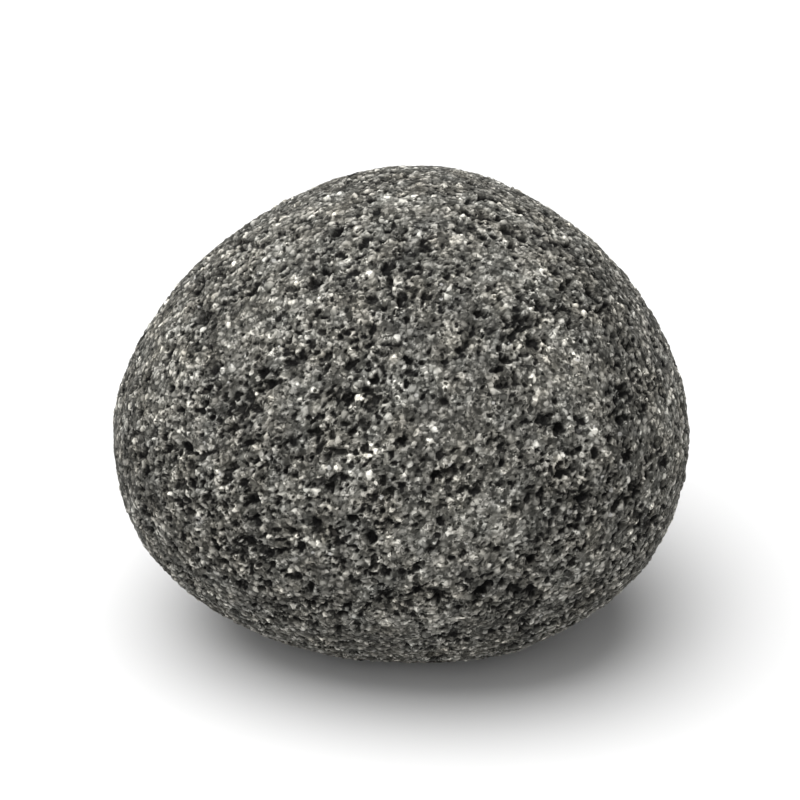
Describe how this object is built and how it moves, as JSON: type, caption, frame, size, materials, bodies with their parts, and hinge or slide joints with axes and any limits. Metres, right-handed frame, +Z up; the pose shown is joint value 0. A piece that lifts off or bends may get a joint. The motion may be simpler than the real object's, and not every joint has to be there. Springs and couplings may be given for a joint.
{
  "type": "basalt massage stone",
  "caption": "Rounded, chunky natural basalt stone with a porous, pitted surface and a small worn flat to rest on, warmed and used for hot-stone massage.",
  "frame": {"origin": "in the plane the stone rests on, below the middle of its outline", "axes": "+X along the stone's length, +Y across it, +Z up from the resting face to the crown"},
  "size_m": [0.08, 0.075, 0.066],
  "materials": {
    "basalt": "matt, tumbled, porous dark grey vesicular basalt with light mineral specks"
  },
  "bodies": {
    "root": {"stone": "basalt"}
  },
  "joints": []
}
